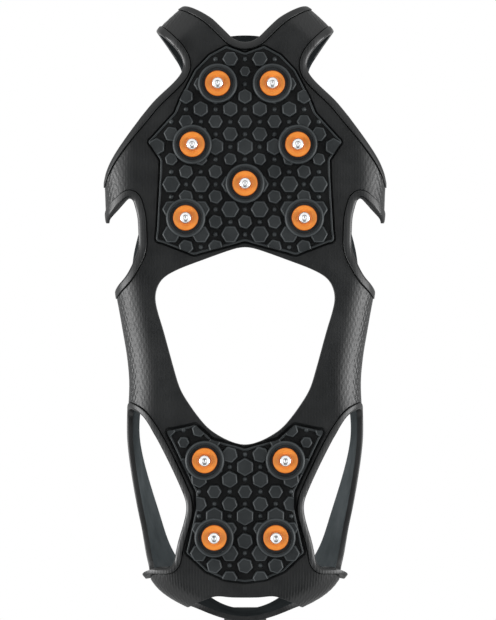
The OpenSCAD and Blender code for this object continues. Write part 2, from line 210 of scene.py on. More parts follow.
rear_window = both_sides([(0, -109.9), (6.5, -109.8), (11.6, -109.4)] + up_wall([
    (13.15, 0.09), (13, 0.18), (12.92, 0.35), (12.95, 0.46), (13.2, 0.5), (13.6, 0.5), (14, 0.5),
]))
midfoot_opening = both_sides([
    (0, 31.4), (5.2, 30.4), (17.3, 26.1), (27.6, 22.1), (33.8, 18.1), (36.2, 12), (35.4, 6), (33, -2),
    (30.8, -10), (28.6, -18), (26, -26.2), (21.5, -33.5), (17.9, -38.3), (14.1, -42.3), (7.3, -46.4),
    (0, -48.4),
])
front_pad_edge = both_sides([
    (0, 109.3), (7.6, 112.1), (14.3, 108.5), (20.1, 102.4), (25.7, 91.6), (28.3, 85.3), (38.8, 73.7),
    (34, 66.3), (34.2, 59), (35.6, 34.1), (20.5, 28.3), (0, 33.7),
])
heel_pad_edge = both_sides([
    (0, -49.8), (13.3, -46.2), (20, -40.3), (31.3, -42.8), (19.7, -67.2), (19.5, -73.2), (23.5, -91.5),
    (15.7, -98.9), (8, -102.2), (0, -103.3),
])
beaded_windows = [
    ([toe_window], 3),
    ([toe_side_window, other_side(toe_side_window)], 2.9),
    ([side_window, other_side(side_window)], 3.3),
    ([heel_side_window, other_side(heel_side_window)], 2.5),
]
loop_spacing = 1.1
corner_ease = 2.2
plain_loops = [smooth_loop(points, loop_spacing, corner_ease) for points in (midfoot_opening, rear_window)]
pad_loops = []
for edge in (front_pad_edge, heel_pad_edge):
    corners = np.array(edge)
    ahead = np.roll(corners, -1, 0)
    straight = np.stack([corners, corners * 0.8 + ahead * 0.2, corners * 0.2 + ahead * 0.8], 1)
    pad_loops.append(smooth_loop(straight.reshape(-1, 2), 0.5, 0.7))
stations = np.arange(0, 2 * heel_station, 0.1)
rim_loop = smooth_loop(sole_edge(stations) + outward(stations) * wall_length, loop_spacing, corner_ease)


def new_piece(name, bm):
    """Puts a bmesh into the scene as an object."""
    mesh = bpy.data.meshes.new(name)
    bm.to_mesh(mesh)
    bm.free()
    piece = bpy.data.objects.new(name, mesh)
    bpy.context.collection.objects.link(piece)
    return piece


def thicken(bm, way):
    """Gives the faces of a bmesh a thickness, along a vector."""
    grown = bmesh.ops.extrude_face_region(bm, geom=bm.faces[:])["geom"]
    moved = [part for part in grown if isinstance(part, bmesh.types.BMVert)]
    bmesh.ops.translate(bm, vec=way, verts=moved)
    bmesh.ops.recalc_face_normals(bm, faces=bm.faces)


def cut_plate(name, loops, low, high):
    """Flat plates with closed outlines."""
    bm = bmesh.new()
    for loop in loops:
        bm.faces.new([bm.verts.new((x, y, low)) for x, y in loop])
    thicken(bm, (0, 0, high - low))
    return new_piece(name, bm)


def rounded(corners):
    """A closed profile with rounded corners; each corner is a place and its radius."""
    outline = []
    for i, (x, y, radius) in enumerate(corners):
        here = Vector((x, y))
        before = (Vector(corners[i - 1][:2]) - here).normalized()
        after = (Vector(corners[(i + 1) % len(corners)][:2]) - here).normalized()
        half = before.angle(after) / 2
        middle = here + (before + after).normalized() * radius / math.sin(half)
        reach = radius / math.tan(half)
        first = here + before * reach - middle
        last = here + after * reach - middle
        outline += [tuple(middle + first.slerp(last, step / 4) * radius) for step in range(5)]
    return outline


def closed_line(curve, points):
    """Adds a closed line with straight sides to a curve."""
    line = curve.splines.new("POLY")
    line.points.add(len(points) - 1)
    for point, (x, y) in zip(line.points, points):
        point.co = (x, y, 0, 1)
    line.use_cyclic_u = True


def rolls(name, loops, profile):
    """Strips that run along closed loops; the profile holds pairs of the way out of the window, and depth."""
    section = bpy.data.curves.new("strip_section", "CURVE")
    section.dimensions = "2D"
    closed_line(section, profile)
    section_piece = bpy.data.objects.new("strip_section", section)
    path = bpy.data.curves.new(name, "CURVE")
    path.dimensions = "3D"
    path.twist_mode = "Z_UP"
    path.bevel_mode = "OBJECT"
    path.bevel_object = section_piece
    for loop in loops:
        closed_line(path, loop)
    path_piece = bpy.data.objects.new(name, path)
    bpy.context.collection.objects.link(path_piece)
    swept = path_piece.evaluated_get(bpy.context.evaluated_depsgraph_get())
    strips = bpy.data.meshes.new_from_object(swept)
    bpy.data.objects.remove(path_piece)
    bpy.data.objects.remove(section_piece)
    bm = bmesh.new()
    bm.from_mesh(strips)
    bmesh.ops.remove_doubles(bm, verts=bm.verts, dist=0.001)
    bmesh.ops.recalc_face_normals(bm, faces=bm.faces)
    return new_piece(name, bm)


def combine(piece, other, operation):
    """Joins another solid to a piece, cuts it out or keeps what they share; the other solid is used up."""
    step = piece.modifiers.new(operation, "BOOLEAN")
    step.operation = operation
    step.solver = "MANIFOLD"
    step.object = other
    solid = piece.evaluated_get(bpy.context.evaluated_depsgraph_get())
    mesh = bpy.data.meshes.new_from_object(solid)
    piece.modifiers.clear()
    piece.data = mesh
    bpy.data.objects.remove(other)


def slab(name, outline, cell, low, high):
    """A flat plate with an outline, divided into square cells so that it can bend and be cut cleanly."""
    low_corner = outline.min(0) - cell
    high_corner = outline.max(0) + cell
    columns, rows = np.ceil((high_corner - low_corner) / cell).astype(int)
    bm = bmesh.new()
    bmesh.ops.create_grid(bm, x_segments=columns, y_segments=rows, size=0.5)
    bmesh.ops.scale(bm, vec=(*(high_corner - low_corner), 1), verts=bm.verts)
    bmesh.ops.translate(bm, vec=(*((high_corner + low_corner) / 2), low), verts=bm.verts)
    thicken(bm, (0, 0, high - low))
    plate = new_piece(name, bm)
    combine(plate, cut_plate("outline", [outline], low - 5, high + 5), "INTERSECT")
    return plate


# In the flat state depth 0 is the outer face, and depths below it stand proud of the rubber.
cut_span = (-5, 8)
inner_face = web_thick - 0.02
edge_half = 0.4
bead_height = 1
harness = slab("harness", rim_loop, 2.2, 0, web_thick)
plain_lines = [moved_out(loop, edge_half) for loop in plain_loops]
combine(harness, cut_plate("openings", plain_lines, *cut_span), "DIFFERENCE")
edge_roll = rounded([
    (edge_half, 0.02, 0.1), (edge_half, inner_face, 0.1),
    (-edge_half, inner_face, 0.3), (-edge_half, 0.02, 0.3),
])
combine(harness, rolls("edge_rolls", [*plain_lines, moved_out(rim_loop, -edge_half)], edge_roll), "UNION")
for loop, groove_reach in zip(pad_loops, (1.7, 2.3)):
    pad_groove = [(-0.3, -0.5), (-0.3, 0.5), (0.15, 0.5), (groove_reach, -0.5)]
    combine(harness, rolls("pad_groove", [loop], pad_groove), "DIFFERENCE")
for windows, bead_width in beaded_windows:
    half = bead_width / 2
    lines = [moved_out(smooth_loop(points, loop_spacing, corner_ease), half) for points in windows]
    combine(harness, cut_plate("windows", lines, *cut_span), "DIFFERENCE")
    bead_groove = [(half - 0.2, -0.5), (half - 0.2, 0.4), (half + 0.05, 0.4), (half + 0.8, -0.5)]
    combine(harness, rolls("grooves", lines, bead_groove), "DIFFERENCE")
    bead = rounded([
        (half, -bead_height, 0.25), (half, inner_face, 0.2), (-half, inner_face, 0.3),
        (-half, 0.5 - bead_height, 1.3),
    ])
    combine(harness, rolls("window_beads", lines, bead), "UNION")


def stud_places(kind, count):
    """Plan places of the studs, in millimetres."""
    boxes = [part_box(f"{kind}_stud_{i + 1}") for i in range(count)]
    return [((low + high) / 2).xy / mm for low, high in boxes]


def turn_solid(bm, profile, place, steps):
    """A solid of revolution round a stud's axis; the profile holds pairs of radius and height."""
    line = [bm.verts.new((place.x + radius, place.y, z)) for radius, z in profile]
    edges = [bm.edges.new(pair) for pair in zip(line, line[1:])]
    if profile[0][0] > 0:
        edges.append(bm.edges.new((line[-1], line[0])))
    bmesh.ops.spin(
        bm, geom=line + edges, angle=2 * math.pi, steps=steps, axis=(0, 0, 1), cent=(*place, 0),
        use_merge=True,
    )
    bmesh.ops.remove_doubles(bm, verts=bm.verts, dist=0.0005)


front_studs = stud_places("front", 7)
heel_studs = stud_places("heel", 4)
shank_hole = 2.4
flange_seat = 6.55
seat_floor = 1.55
seat = [
    (0, -3), (shank_hole, -3), (shank_hole, seat_floor), (flange_seat, seat_floor), (flange_seat, 5), (0, 5),
]
bm = bmesh.new()
for place in front_studs + heel_studs:
    turn_solid(bm, seat, place, 48)
bmesh.ops.recalc_face_normals(bm, faces=bm.faces)
combine(harness, new_piece("stud_seats", bm), "DIFFERENCE")
fin_reach = 2.4
tip_thinning = 0.55


def wrapped(flat):
    """Flat points moved onto the shoe's form, their way beyond the sole's edge, and their share of emboss."""
    samples = np.arange(0, 2 * heel_station, 0.02)
    tree = KDTree(len(samples))
    for index, (x, y) in enumerate(sole_edge(samples)):
        tree.insert((x, y, 0), index)
    tree.balance()
    station = np.array([samples[tree.find((x, y, 0))[1]] for x, y in flat[:, :2]])
    for _ in range(4):
        ahead = (sole_edge(station + small_step) - sole_edge(station - small_step)) / (2 * small_step)
        turn = (outward(station + small_step) - outward(station - small_step)) / (2 * small_step)
        gap = flat[:, :2] - sole_edge(station)
        beyond = np.sum(gap * outward(station), 1)
        square = np.sum(ahead * ahead, 1)
        bend = np.sum(turn * ahead, 1) / square
        station += np.sum(gap * ahead, 1) / (square * np.maximum(0.2, 1 + bend * beyond))
    beyond = np.sum((flat[:, :2] - sole_edge(station)) * outward(station), 1)
    share = np.maximum(beyond, 0) / wall_length
    held = np.clip(share, small_step, 1 - small_step)
    up = wall(station, held + small_step) - wall(station, held - small_step)
    ahead = wall(station + small_step, held) - wall(station - small_step, held)
    normal = np.cross(up, ahead)
    normal /= np.linalg.norm(normal, axis=1, keepdims=True)
    right_station = folded(station)
    thin = np.clip(share / belly_share, 0, 1) * (wall_thick / web_thick - 1) + 1
    wing_tip = np.interp(right_station, [6.1, 6.4, 6.8], [0, 1, 0])
    wing_tip *= np.interp(beyond, [8, 16, 26, 34], [0, 1, 1, 0])
    low_bead = np.interp(beyond, [3, 13], [1, 0.45])
    depth = flat[:, 2] * np.where(flat[:, 2] > 0, thin * (1 - tip_thinning * wing_tip), low_bead)
    on_wall = wall(station, share) - normal * depth[:, None]
    fin = np.interp(right_station, [11.4, 11.65, 11.86, 12], [0, 1, 1, 0.4])
    fin *= np.interp(beyond, [4, 15, 20, 26], [0, 1, 1, 0])
    proud = np.clip(-flat[:, 2] / 0.5, 0, 1)
    on_wall[:, 0] += np.sign(on_wall[:, 0]) * fin_reach * fin * proud
    on_sole = np.stack([flat[:, 0], flat[:, 1], web_under + flat[:, 2]], 1)
    scaly = np.interp(beyond - np.interp(right_station, [10.5, 11.5], [0, 2]), [0, 13], [0, 1])
    return np.where((beyond > 0)[:, None], on_wall, on_sole), beyond, scaly


mesh = harness.data
flat = np.empty(len(mesh.vertices) * 3)
mesh.vertices.foreach_get("co", flat)
flat = flat.reshape(-1, 3)
placed, beyond_edge, scaly = wrapped(flat)
corner_vertex = np.empty(len(mesh.loops), int)
mesh.loops.foreach_get("vertex_index", corner_vertex)
layout = mesh.uv_layers.new(name="flat_layout")
layout.uv.foreach_set("vector", (flat[corner_vertex, :2] * 0.01).astype(np.float32).ravel())
emboss = mesh.attributes.new("emboss", "FLOAT", "POINT")
off_face = np.abs(flat[:, 2]) > 0.01
emboss.data.foreach_set("value", np.where(off_face, 0, scaly).astype(np.float32))
shiny_edge = mesh.attributes.new("shiny_edge", "FLOAT", "POINT")
bead_turn = np.interp(flat[:, 2], [-0.66, -0.54, -0.1, -0.01], [0, 1, 1, 0])
shiny_edge.data.foreach_set("value", bead_turn.astype(np.float32))
mesh.vertices.foreach_set("co", (placed * mm).astype(np.float32).ravel())
mesh.update()
mesh.set_sharp_from_angle(angle=math.radians(38))
for face in mesh.polygons:
    near_wall = any(beyond_edge[v] > -1.2 for v in face.vertices)
    face.use_smooth = face.normal.z > -0.9999 or near_wall


def add_node(tree, kind, values=None, **settings):
    """A node with its settings and the values of its unlinked sockets."""
    node = tree.nodes.new("ShaderNode" + kind)
    for name, value in settings.items():
        setattr(node, name, value)
    for socket, value in (values or {}).items():
        node.inputs[socket].default_value = value
    return node


def add_math(tree, operation, first, second=None):
    """A math node; each operand is a number or a socket."""
    node = add_node(tree, "Math", operation=operation)
    for socket, value in zip(node.inputs, (first, second)):
        if isinstance(value, bpy.types.NodeSocket):
            tree.links.new(value, socket)
        elif value is not None:
            socket.default_value = value
    return node.outputs[0]


def add_range(tree, value, start, end, first, last):
    """A value that goes from first to last while another goes from start to end."""
    limits = {"From Min": start, "From Max": end, "To Min": first, "To Max": last}
    node = add_node(tree, "MapRange", limits)
    tree.links.new(value, node.inputs["Value"])
    return node.outputs["Result"]


def add_ramp(tree, value, stops):
    """A colour that follows a value; each stop is a position and its colour."""
    ramp = add_node(tree, "ValToRGB")
    while len(ramp.color_ramp.elements) < len(stops):
        ramp.color_ramp.elements.new(0.5)
    for element, (position, colour) in zip(ramp.color_ramp.elements, stops):
        element.position = position
        element.color = (*colour, 1)
    tree.links.new(value, ramp.inputs["Fac"])
    return ramp.outputs["Color"]


def add_noise(tree, scale, detail, roughness):
    """A cloudy value that is fixed to the piece."""
    noise = add_node(tree, "TexNoise", {"Scale": scale, "Detail": detail, "Roughness": roughness})
    tree.links.new(add_node(tree, "TexCoord").outputs["Object"], noise.inputs["Vector"])
    return noise.outputs["Fac"]


def add_split(tree, vector):
    """The three parts of a vector."""
    parts = add_node(tree, "SeparateXYZ")
    tree.links.new(vector, parts.inputs["Vector"])
    return parts.outputs


def new_material(name):
    """A material with its node tree and its shader."""
    material = bpy.data.materials.new(name)
    material.use_nodes = True
    return material, material.node_tree, material.node_tree.nodes["Principled BSDF"]


# The skin of moulded black rubber: cloudy black-grey, uneven sheen and a fine grain, for every rubber piece.
rubber_skin = bpy.data.node_groups.new("rubber_skin", "ShaderNodeTree")
rubber_skin.interface.new_socket("Color", in_out="OUTPUT", socket_type="NodeSocketColor")
rubber_skin.interface.new_socket("Roughness", in_out="OUTPUT", socket_type="NodeSocketFloat")
rubber_skin.interface.new_socket("Grain", in_out="OUTPUT", socket_type="NodeSocketFloat")
skin_out = rubber_skin.nodes.new("NodeGroupOutput")
clouds = add_noise(rubber_skin, 70, 4, 0.6)
blacks = add_ramp(rubber_skin, clouds, [(0.3, (0.0046, 0.0053, 0.0056)), (0.72, (0.0076, 0.0086, 0.009))])
rubber_skin.links.new(blacks, skin_out.inputs["Color"])
rubber_skin.links.new(add_range(rubber_skin, clouds, 0.3, 0.7, 0.32, 0.44), skin_out.inputs["Roughness"])
rubber_skin.links.new(add_noise(rubber_skin, 1500, 2, 0.5), skin_out.inputs["Grain"])


def add_skin(tree, shader):
    """The rubber skin on a shader; gives the skin's colour, its roughness and its grain in millimetres."""
    skin = add_node(tree, "Group")
    skin.node_tree = rubber_skin
    tree.links.new(skin.outputs["Color"], shader.inputs["Base Color"])
    tree.links.new(skin.outputs["Roughness"], shader.inputs["Roughness"])
    grain = add_math(tree, "MULTIPLY", skin.outputs["Grain"], 0.03)
    return skin.outputs["Color"], skin.outputs["Roughness"], grain


def add_relief(tree, shader, height):
    """A surface relief whose height is given in millimetres."""
    relief = add_node(tree, "Bump", {"Strength": 1, "Distance": mm})
    tree.links.new(height, relief.inputs["Height"])
    tree.links.new(relief.outputs["Normal"], shader.inputs["Normal"])


def scale_colour(tree, shader, colour, factor):
    """A shader's base colour, made lighter or darker by a factor."""
    scaled = add_node(tree, "VectorMath", operation="SCALE")
    tree.links.new(colour, scaled.inputs[0])
    tree.links.new(factor, scaled.inputs["Scale"])
    tree.links.new(scaled.outputs["Vector"], shader.inputs["Base Color"])


# Outside of the harness: embossed scales on the walls that fade out towards the sole, and fine ribs along it.
# The flat layout's unit is 100 mm.
scale_width = 0.022
scale_length = 0.042
scale_relief = 0.045
rib_width = 0.0118
outside, tree, shader = new_material("harness_rubber")
_, skin_roughness, grain = add_skin(tree, shader)
flat_place = add_node(tree, "UVMap", uv_map="flat_layout").outputs["UV"]
ripple = add_node(tree, "TexNoise", {"Scale": 45, "Detail": 1}, noise_dimensions="2D")
tree.links.new(flat_place, ripple.inputs["Vector"])
sides = add_split(tree, flat_place)
bent = add_math(tree, "MULTIPLY", ripple.outputs["Fac"], 4)
rows = add_math(tree, "ADD", add_math(tree, "MULTIPLY", sides["X"], 2 * math.pi / scale_width), bent)
steps = add_math(tree, "MULTIPLY", sides["Y"], 2 * math.pi / scale_length)
one_way = add_math(tree, "SINE", add_math(tree, "ADD", rows, steps))
other_way = add_math(tree, "SINE", add_math(tree, "SUBTRACT", rows, steps))
emboss_share = add_node(tree, "Attribute", attribute_name="emboss").outputs["Fac"]
scale_share = add_math(tree, "MULTIPLY", emboss_share, scale_relief)
scale_height = add_math(tree, "MULTIPLY", add_math(tree, "ADD", one_way, other_way), scale_share)
waves = add_math(tree, "SINE", add_math(tree, "MULTIPLY", sides["X"], 2 * math.pi / rib_width))
rib_share = add_range(tree, sides["Y"], -0.6, -1, 0.006, 0.018)
rib_height = add_math(tree, "MULTIPLY", waves, rib_share)
height = add_math(tree, "ADD", add_math(tree, "ADD", scale_height, rib_height), grain)
add_relief(tree, shader, height)
edge_share = add_node(tree, "Attribute", attribute_name="shiny_edge").outputs["Fac"]
dullness = add_math(tree, "SUBTRACT", 1, add_math(tree, "MULTIPLY", edge_share, 0.5))
tree.links.new(add_math(tree, "MULTIPLY", skin_roughness, dullness), shader.inputs["Roughness"])
shader.inputs["Specular IOR Level"].default_value = 0.5

# Inside of the harness: the same rubber, left matt where it grips the shoe, with painted light that lifts its
# colour towards the heel and less so at the very back.
inside, tree, shader = new_material("harness_lining")
skin_colour, _, grain = add_skin(tree, shader)
add_relief(tree, shader, grain)
lining_place = add_split(tree, add_node(tree, "TexCoord").outputs["Object"])
# Painted light: the lining's colour is made four to sixteen times lighter, most towards the heel, and cut
# back again at the very back.
painted_heel_light = add_range(tree, lining_place["Y"], -0.02, -0.06, 4, 16)
painted_light_back_fade = add_range(tree, lining_place["Y"], -0.1, -0.112, 1, 0.3)
scale_colour(tree, shader, skin_colour, add_math(tree, "MULTIPLY", painted_heel_light, painted_light_back_fade))
shader.inputs["Specular IOR Level"].default_value = 0

# The matt lining also covers the edges of the windows high on the wall, as painted shade that keeps these
# edges dark.
cut_edge_low = 36
cut_edge_high = 50
mesh.materials.clear()
mesh.materials.append(outside)
mesh.materials.append(inside)
for face in mesh.polygons:
    depths = [flat[v, 2] for v in face.vertices]
    high_up = all(cut_edge_low < beyond_edge[v] < cut_edge_high for v in face.vertices)
    cut_edge = max(depths) > 0.05 and max(depths) - min(depths) > 0.05
    face.material_index = int(min(depths) > web_thick / 2 or high_up and cut_edge)
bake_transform(harness)
harness_nodes = ["forefoot_web", "heel_web", "toe_cap", "heel_band"]
for pair in ("toe_strap", "wing", "side_band", "arm", "heel_corner"):
    harness_nodes += [pair + "_left", pair + "_right"]
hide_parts(*harness_nodes)


# Tread pads: thicker black rubber under the ball of the foot and the heel, moulded onto the webs.
# Six-sided lugs and small dots take turns in rows, and a round boss with a groove holds each stud's collar.
# Every row of lugs has its own size, across the corners, and its own turn in degrees.
front_lugs = [
    (6.1, 0), (4.3, 5), (5.6, 0), (5.8, 30), (6.1, 26), (5.6, 0), (6, 8), (6.7, 30), (5.1, 15), (5.6, 17),
    (7, 0), (5.6, 15), (7, 0), (5.6, 15), (7, 0), (5.8, 15),
]
heel_lugs = [
    (5.6, 15), (4.6, 5), (6.4, 15), (7, 30), (6.6, 25), (5.6, 0), (6.2, 12), (7.2, 30), (5.6, 0), (6.4, 17),
    (6.8, 0), (6.2, 15), (6, 0),
]
boss_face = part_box("forefoot_pad")[0].z / mm
boss_height = 3
boss_radius = 7.9
groove_radius = 6.3
groove_depth = 1.2
collar_radius = 5.1
pad_floor = boss_face + boss_height
lug_height = 1.8
lug_root = 0.8
lug_top_share = 1.03
lug_foot_share = 1.12
dot_height = 1.1
dot_top = pad_floor - dot_height
dot_profile = [
    (0, dot_top), (0.35, dot_top + 0.16), (0.7, dot_top + 0.42), (1, dot_top + 0.8), (1.15, pad_floor + 0.4),
    (0, pad_floor + 0.4),
]
dot_edge_gap = 0.8
dot_tip_gap = 2


def holds(loop, place):
    """Whether a closed outline goes round a place."""
    ahead = np.roll(loop, -1, 0)
    spans = (loop[:, 1] > place.y) != (ahead[:, 1] > place.y)
    rise = np.where(spans, ahead[:, 1] - loop[:, 1], 1)
    crossing = loop[:, 0] + (place.y - loop[:, 1]) / rise * (ahead[:, 0] - loop[:, 0])
    return np.count_nonzero(spans & (crossing > place.x)) % 2 == 1


def lug_field(outline, first_row, pitch, lugs, studs, overhang):
    """Lugs and domed dots of one pad; lugs may have their middle outside the outline by the overhang."""
    bm = bmesh.new()
    dots = []
    for row, (size, turn) in enumerate(lugs):
        for column in range(-7, 8):
            place = Vector((column * pitch[0], first_row - row * pitch[1]))
            edge_gap = np.linalg.norm(outline - place, axis=1).min()
            stud_gap = min((place - stud).length for stud in studs)
            within = holds(outline, place)
            if (row + column) % 2 == 0:
                off_tip = place.y > outline[:, 1].min() + dot_tip_gap
                if within and off_tip and edge_gap > dot_edge_gap and stud_gap > boss_radius + 1:
                    dots.append(place)
            elif within or edge_gap < overhang:
                middle = Vector((*place, pad_floor - lug_height / 2))
                bmesh.ops.create_cone(
                    bm, cap_ends=True, segments=6, depth=lug_height + lug_root,
                    radius1=size / 2 * lug_top_share, radius2=size / 2 * lug_foot_share,
                    matrix=Matrix.Translation(middle) @ Matrix.Rotation(math.radians(turn + 90), 4, "Z"),
                )
    proud = [edge for edge in bm.edges if min(vert.co.z for vert in edge.verts) < pad_floor - 0.1]
    bmesh.ops.bevel(bm, geom=proud, offset=0.42, segments=2, profile=0.5, affect="EDGES", material=-1)
    for place in dots:
        turn_solid(bm, dot_profile, place, 12)
    bmesh.ops.recalc_face_normals(bm, faces=bm.faces)
    return new_piece("lugs", bm)


def tread_pad(name, outline, first_row, pitch, lugs, studs, overhang):
    """One pad with its lugs, dots and bosses."""
    pad = slab(name, outline, 2.7, pad_floor, web_under + 0.2)
    lip = rounded([
        (0.4, pad_floor - 0.6, 0.3), (0.4, pad_floor + 0.5, 0.1), (-0.4, pad_floor + 0.5, 0.1),
        (-0.4, pad_floor - 0.6, 0.3),
    ])
    combine(pad, rolls("lip", [moved_out(outline, -0.42)], lip), "UNION")
    field = lug_field(outline, first_row, pitch, lugs, studs, overhang)
    combine(field, cut_plate("pad_outline", [outline], boss_face, web_under), "INTERSECT")
    combine(pad, field, "UNION")
    boss = [
        (0, boss_face), (boss_radius - 0.75, boss_face), (boss_radius - 0.35, boss_face + 0.12),
        (boss_radius - 0.1, boss_face + 0.4), (boss_radius, boss_face + 0.9),
        (boss_radius + 0.15, pad_floor + 0.6), (0, pad_floor + 0.6),
    ]
    bore = [
        (0, 0), (groove_radius + 0.15, 0), (groove_radius + 0.15, boss_face + 0.02),
        (groove_radius, boss_face + 0.5), (groove_radius - 0.1, boss_face + groove_depth),
        (collar_radius + 0.05, boss_face + groove_depth + 0.05), (collar_radius + 0.05, web_under + 2),
        (0, web_under + 2),
    ]
    for kind, profile, operation in (("bosses", boss, "UNION"), ("bores", bore, "DIFFERENCE")):
        bm = bmesh.new()
        for place in studs:
            turn_solid(bm, profile, place, 72)
        bmesh.ops.recalc_face_normals(bm, faces=bm.faces)
        combine(pad, new_piece(kind, bm), operation)
    pad.data.transform(Matrix.Scale(mm, 4))
    pad.data.set_sharp_from_angle(angle=math.radians(40))
    for face in pad.data.polygons:
        face.use_smooth = abs(face.normal.z) < 0.99
    pad.data.materials.clear()
    pad.data.materials.append(tread)
    return pad


def add_facing(tree, stops):
    """A value for how squarely a face looks up or down: stops are pairs of squareness and value."""
    facing = add_split(tree, add_node(tree, "TexCoord").outputs["Normal"])
    greys = [(position, (value, value, value)) for position, value in stops]
    return add_ramp(tree, add_math(tree, "ABSOLUTE", facing["Z"]), greys)


# Painted shade and highlight: the floor between the lugs is painted darker and the raised faces paler, and
# their sloping edges paler still.
tread, tree, shader = new_material("tread_rubber")
skin_colour, _, grain = add_skin(tree, shader)
add_relief(tree, shader, grain)
tread_place = add_split(tree, add_node(tree, "TexCoord").outputs["Object"])
painted_depth_shade = add_range(tree, tread_place["Z"], pad_floor * mm, (pad_floor - dot_height / 2) * mm, 0.6, 3.8)
# Painted highlight: the sloping faces of lug bevels and dot domes, picked by the edges value, get a paler
# colour.
edges = add_facing(tree, [(0.3, 0), (0.5, 1), (0.92, 1), (0.985, 0)])
painted_edge_light = add_math(tree, "ADD", add_math(tree, "MULTIPLY", edges, 1.1), 1)
scale_colour(tree, shader, skin_colour, add_math(tree, "MULTIPLY", painted_depth_shade, painted_edge_light))
shader.inputs["Specular IOR Level"].default_value = 0.25
front_pad = tread_pad("front_tread", pad_loops[0], 106.8, (5.92, 5.03), front_lugs, front_studs, 0)
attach(front_pad, "forefoot")
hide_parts("forefoot_pad")
heel_tread = tread_pad("heel_tread", pad_loops[1], -42.2, (6.17, 4.95), heel_lugs, heel_studs, 1.2)
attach(heel_tread, "heel")
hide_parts("heel_pad")


# Collars: orange plastic rings, one in each boss, with a raised rim and a lower step round the stud.
# Each is pressed over the stud's shank and stands on the web.
collar_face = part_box("front_collar_1")[0].z / mm
collar_profile = [
    (2.4, web_under), (2.4, collar_face + 0.75), (2.6, collar_face + 0.55), (3.05, collar_face + 0.5),
    (3.25, collar_face + 0.3), (3.5, collar_face + 0.14), (4.3, collar_face + 0.12),
    (4.5, collar_face + 0.02), (4.7, collar_face), (4.9, collar_face + 0.06), (5.04, collar_face + 0.2),
    (collar_radius, collar_face + 0.45), (collar_radius, web_under),
]
plastic, tree, shader = new_material("collar_plastic")
oranges = [(0.3, (0.8, 0.245, 0.028)), (0.7, (0.89, 0.295, 0.042))]
# Painted shade: the steep and sloping faces get a deeper, darker red than the flat faces.
painted_slope_shade = add_node(tree, "Mix", data_type="RGBA")
painted_slope_shade.inputs["B"].default_value = (0.86, 0.17, 0.016, 1)
tree.links.new(add_facing(tree, [(0.6, 1), (0.95, 0)]), painted_slope_shade.inputs["Factor"])
tree.links.new(add_ramp(tree, add_noise(tree, 180, 3, 0.6), oranges), painted_slope_shade.inputs["A"])
tree.links.new(painted_slope_shade.outputs["Result"], shader.inputs["Base Color"])
shader.inputs["Roughness"].default_value = 0.36
shader.inputs["Specular IOR Level"].default_value = 0.4


def turned_piece(name, profile, place, steps, material):
    """One turned piece at a stud's place."""
    bm = bmesh.new()
    turn_solid(bm, profile, place, steps)
    bmesh.ops.recalc_face_normals(bm, faces=bm.faces)
    bmesh.ops.scale(bm, vec=(mm, mm, mm), verts=bm.verts)
    piece = new_piece(name, bm)
    piece.data.shade_smooth()
    piece.data.set_sharp_from_angle(angle=math.radians(50))
    piece.data.materials.append(material)
    return piece


for kind, body, studs in (("front", "forefoot", front_studs), ("heel", "heel", heel_studs)):
    for number, place in enumerate(studs, 1):
        collar = turned_piece(f"{kind}_ring_{number}", collar_profile, place, 64, plastic)
        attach(collar, body)
        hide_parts(f"{kind}_collar_{number}")


# Studs: hardened steel pins with a polished domed tip that has a shallow dimple from turning.
# The shank goes through collar and web, and a wide flange is seated in the web's upper face.
stud_profile = [
    (0, 0.26), (0.35, 0.17), (0.7, 0.06), (0.9, 0.01), (1, 0), (1.25, 0.06), (1.5, 0.16), (1.8, 0.34),
    (2.05, 0.56), (2.22, 0.86), (2.32, 1.25), (2.35, 1.7), (2.35, 8.6), (6.3, 8.6), (6.45, 8.7), (6.5, 8.85),
    (6.5, 9.75), (6.44, 9.92), (6.3, 10), (0, 10),
]
steel, tree, shader = new_material("stud_steel")
shader.inputs["Metallic"].default_value = 0.85
marks = add_noise(tree, 900, 3, 0.6)
greys = add_ramp(tree, marks, [(0.35, (0.82, 0.84, 0.86)), (0.6, (0.95, 0.96, 0.97))])
tree.links.new(greys, shader.inputs["Base Color"])
tree.links.new(add_range(tree, marks, 0.3, 0.7, 0.1, 0.22), shader.inputs["Roughness"])
for kind, body, studs in (("front", "forefoot", front_studs), ("heel", "heel", heel_studs)):
    for number, place in enumerate(studs, 1):
        stud = turned_piece(f"{kind}_pin_{number}", stud_profile, place, 48, steel)
        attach(stud, body)
        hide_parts(f"{kind}_stud_{number}")


# Pull tab: a flat rubber tongue on the heel band that a hand pulls the heel on with.
# It folds at its root, a round roll along the rim.
tab_width = 18
tab_length = 18
tab_thick = 3
tab_corner = 5
tab_lean = math.radians(30)
root_radius = tab_thick / 2 + 0.05
fold = next(joint for joint in frame["record"]["behaviour"]["joints"] if joint["name"] == "tab_fold")
corner_x = tab_width / 2 - tab_corner
corner_z = tab_length - tab_corner
outline = [(-tab_width / 2, 0), (tab_width / 2, 0)]
for side, first_angle in ((1, 0), (-1, math.pi / 2)):
    for step in range(7):
        angle = first_angle + math.pi / 2 * step / 6
        across = side * corner_x + tab_corner * math.cos(angle)
        outline.append((across, corner_z + tab_corner * math.sin(angle)))
bm = bmesh.new()
bm.faces.new([bm.verts.new((x, tab_thick / 2, z)) for x, z in outline])
thicken(bm, (0, -tab_thick, 0))
flat_edges = [edge for edge in bm.edges if abs(edge.verts[0].co.y - edge.verts[1].co.y) < 0.1]
bmesh.ops.bevel(bm, geom=flat_edges, offset=0.8, segments=4, profile=0.5, affect="EDGES", material=-1)
tab = new_piece("tab", bm)
bm = bmesh.new()
bmesh.ops.create_cone(
    bm, cap_ends=True, segments=28, radius1=root_radius, radius2=root_radius, depth=tab_width - 0.4,
    matrix=Matrix.Rotation(math.pi / 2, 4, "Y"),
)
ends = [edge for edge in bm.edges if abs(edge.verts[0].co.x - edge.verts[1].co.x) < 0.1]
